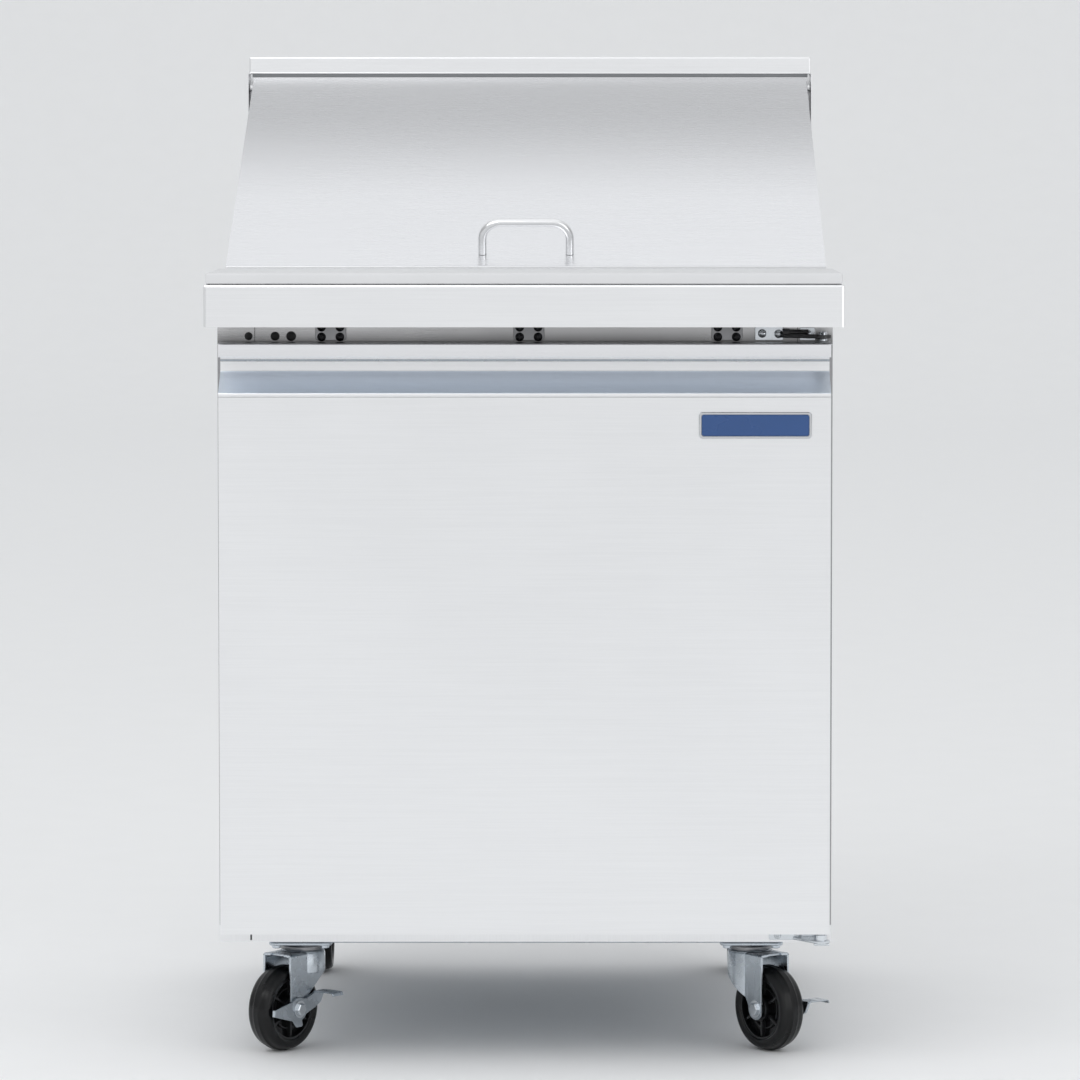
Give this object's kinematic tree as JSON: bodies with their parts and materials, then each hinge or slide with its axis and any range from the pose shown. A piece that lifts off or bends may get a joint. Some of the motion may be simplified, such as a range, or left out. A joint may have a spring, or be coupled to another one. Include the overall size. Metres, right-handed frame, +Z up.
{
  "type": "sandwich prep table",
  "caption": "Refrigerated sandwich prep table with a hinged insulated lid over food pans, a cutting board shelf, a front door and swivel casters.",
  "frame": {"origin": "on the floor under the centre of the outline, half way across the width and the depth", "axes": "+X towards the hinge side of the door (the right when facing it), +Y towards the back, +Z up"},
  "size_m": [0.734, 0.864, 1.19],
  "materials": {
    "stainless": "brushed",
    "zinc_plate": "satin zinc plating",
    "sheet_aluminium": "satin",
    "black_steel": "semi-gloss",
    "foam": "matt foam",
    "white_board": "satin",
    "coated_wire": "plastic-coated",
    "grey_rubber": "matt",
    "black_rubber": "satin",
    "black_plastic": "matt",
    "blue_plastic": "gloss"
  },
  "bodies": {
    "cabinet": {"cabinet_shell": "stainless", "foam_core": "foam", "inner_liner": "sheet_aluminium", "base_pan": "zinc_plate", "rear_cover": "stainless", "power_inlet": "black_plastic", "compressor": "black_steel", "condenser_coil": "sheet_aluminium", "condenser_fan_shroud": "black_steel", "evaporator_cover": "sheet_aluminium", "evaporator_coil": "sheet_aluminium", "wire_shelf": "coated_wire", "worktop": "stainless", "pan_bar_front": "stainless", "pan_bar_rear": "stainless", "food_pan_11": "stainless", "food_pan_12": "stainless", "food_pan_13": "stainless", "food_pan_14": "stainless", "food_pan_21": "stainless", "food_pan_22": "stainless", "food_pan_23": "stainless", "food_pan_24": "stainless", "food_pan_31": "stainless", "food_pan_32": "stainless", "food_pan_33": "stainless", "food_pan_34": "stainless", "front_rail": "stainless", "bracket_left": "zinc_plate", "bracket_centre": "zinc_plate", "bracket_right": "zinc_plate", "hood_shell": "stainless", "hood_cap": "stainless", "hinge_upper": "zinc_plate", "hinge_lower": "zinc_plate", "caster_plate_front_left": "zinc_plate", "caster_plate_front_right": "zinc_plate", "caster_plate_rear_left": "zinc_plate", "caster_plate_rear_right": "zinc_plate"},
    "door": {"door_skin": "stainless", "door_inner_panel": "sheet_aluminium", "door_gasket": "grey_rubber", "door_pull": "stainless", "badge_plate": "blue_plastic"},
    "lid": {"lid_skin": "stainless", "lid_panel": "sheet_aluminium", "lid_handle": "stainless"},
    "board": {"cutting_board": "white_board"},
    "condenser_fan": {"condenser_fan_blade": "sheet_aluminium"},
    "evaporator_fan": {"evaporator_fan_blade": "black_plastic"},
    "swivel_front_left": {"caster_fork_front_left": "zinc_plate"},
    "rolling_front_left": {"wheel_front_left": "black_rubber"},
    "brake_front_left": {"brake_lever_front_left": "zinc_plate"},
    "swivel_front_right": {"caster_fork_front_right": "zinc_plate"},
    "rolling_front_right": {"wheel_front_right": "black_rubber"},
    "brake_front_right": {"brake_lever_front_right": "zinc_plate"},
    "swivel_rear_left": {"caster_fork_rear_left": "zinc_plate"},
    "rolling_rear_left": {"wheel_rear_left": "black_rubber"},
    "swivel_rear_right": {"caster_fork_rear_right": "zinc_plate"},
    "rolling_rear_right": {"wheel_rear_right": "black_rubber"}
  },
  "joints": [
    {"name": "door_hinge", "type": "hinge", "parent": "cabinet", "child": "door", "pos_m": [0.346, -0.345, 0.5], "axis": [0, 0, 1], "range_deg": [0, 110], "stiffness_Nm_per_rad": 1.2, "springref_deg": -20.05},
    {"name": "lid_hinge", "type": "hinge", "parent": "cabinet", "child": "lid", "pos_m": [0, 0.361, 1.1498], "axis": [-1, 0, 0], "range_deg": [0, 115]},
    {"name": "board_lift", "type": "slide", "parent": "cabinet", "child": "board", "axis": [0, 0, 1], "range_m": [0, 0.15]},
    {"name": "condenser_fan_spin", "type": "hinge", "parent": "cabinet", "child": "condenser_fan", "pos_m": [-0.16, 0.33, 0.286], "axis": [0, 1, 0], "continuous": true},
    {"name": "evaporator_fan_spin", "type": "hinge", "parent": "cabinet", "child": "evaporator_fan", "pos_m": [-0.1, 0.29, 0.65], "axis": [0, 1, 0], "continuous": true},
    {"name": "swivel_front_left", "type": "hinge", "parent": "cabinet", "child": "swivel_front_left", "pos_m": [-0.268, -0.197, 0.1], "axis": [0, 0, 1], "continuous": true},
    {"name": "roll_front_left", "type": "hinge", "parent": "swivel_front_left", "child": "rolling_front_left", "pos_m": [-0.28962, -0.22579, 0.051], "axis": [0.7997, -0.6004, 0], "continuous": true},
    {"name": "brake_front_left", "type": "hinge", "parent": "swivel_front_left", "child": "brake_front_left", "pos_m": [-0.28962, -0.22579, 0.051], "axis": [0.7997, -0.6004, 0], "range_deg": [0, 25]},
    {"name": "swivel_front_right", "type": "hinge", "parent": "cabinet", "child": "swivel_front_right", "pos_m": [0.268, -0.197, 0.1], "axis": [0, 0, 1], "continuous": true},
    {"name": "roll_front_right", "type": "hinge", "parent": "swivel_front_right", "child": "rolling_front_right", "pos_m": [0.28962, -0.22579, 0.051], "axis": [0.7997, 0.6004, 0], "continuous": true},
    {"name": "brake_front_right", "type": "hinge", "parent": "swivel_front_right", "child": "brake_front_right", "pos_m": [0.28962, -0.22579, 0.051], "axis": [-0.7997, -0.6004, 0], "range_deg": [0, 25]},
    {"name": "swivel_rear_left", "type": "hinge", "parent": "cabinet", "child": "swivel_rear_left", "pos_m": [-0.2735, 0.343, 0.1], "axis": [0, 0, 1], "continuous": true},
    {"name": "roll_rear_left", "type": "hinge", "parent": "swivel_rear_left", "child": "rolling_rear_left", "pos_m": [-0.2735, 0.379, 0.051], "axis": [-1, 0, 0], "continuous": true},
    {"name": "swivel_rear_right", "type": "hinge", "parent": "cabinet", "child": "swivel_rear_right", "pos_m": [0.2735, 0.343, 0.1], "axis": [0, 0, 1], "continuous": true},
    {"name": "roll_rear_right", "type": "hinge", "parent": "swivel_rear_right", "child": "rolling_rear_right", "pos_m": [0.2735, 0.379, 0.051], "axis": [-1, 0, 0], "continuous": true}
  ]
}
